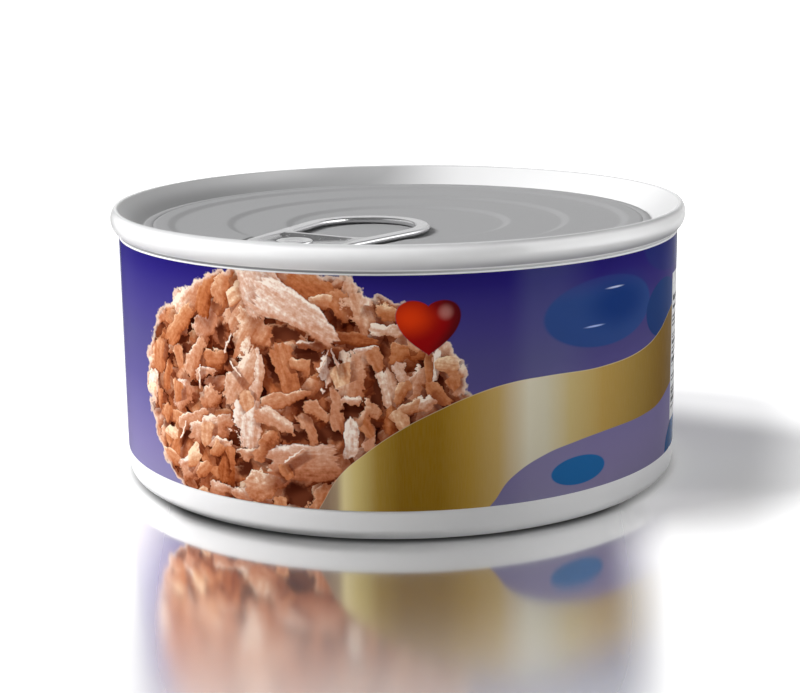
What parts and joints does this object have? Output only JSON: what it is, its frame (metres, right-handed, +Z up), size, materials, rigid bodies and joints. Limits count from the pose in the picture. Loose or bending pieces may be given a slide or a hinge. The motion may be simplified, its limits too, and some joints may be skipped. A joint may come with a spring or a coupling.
{
  "type": "tuna can",
  "caption": "Shallow round tuna can with an easy-open ring-pull end and a printed wrap-around label.",
  "frame": {"origin": "centre of the base, on the surface the can stands on", "axes": "+Z up along the can's axis, -Y to the front of the label, +X to the right"},
  "size_m": [0.0858, 0.0858, 0.04],
  "materials": {
    "white_lacquer": "white lacquer, satin gloss",
    "lid_metal": "pale lacquered steel, white seam and matt grey panel",
    "tab_metal": "satin",
    "printed_label": "gloss printed label, blue to violet with a picture of tuna flakes"
  },
  "bodies": {
    "root": {"can_body": "white_lacquer", "lid": "lid_metal", "pull_tab": "tab_metal", "label": "printed_label"}
  },
  "joints": []
}
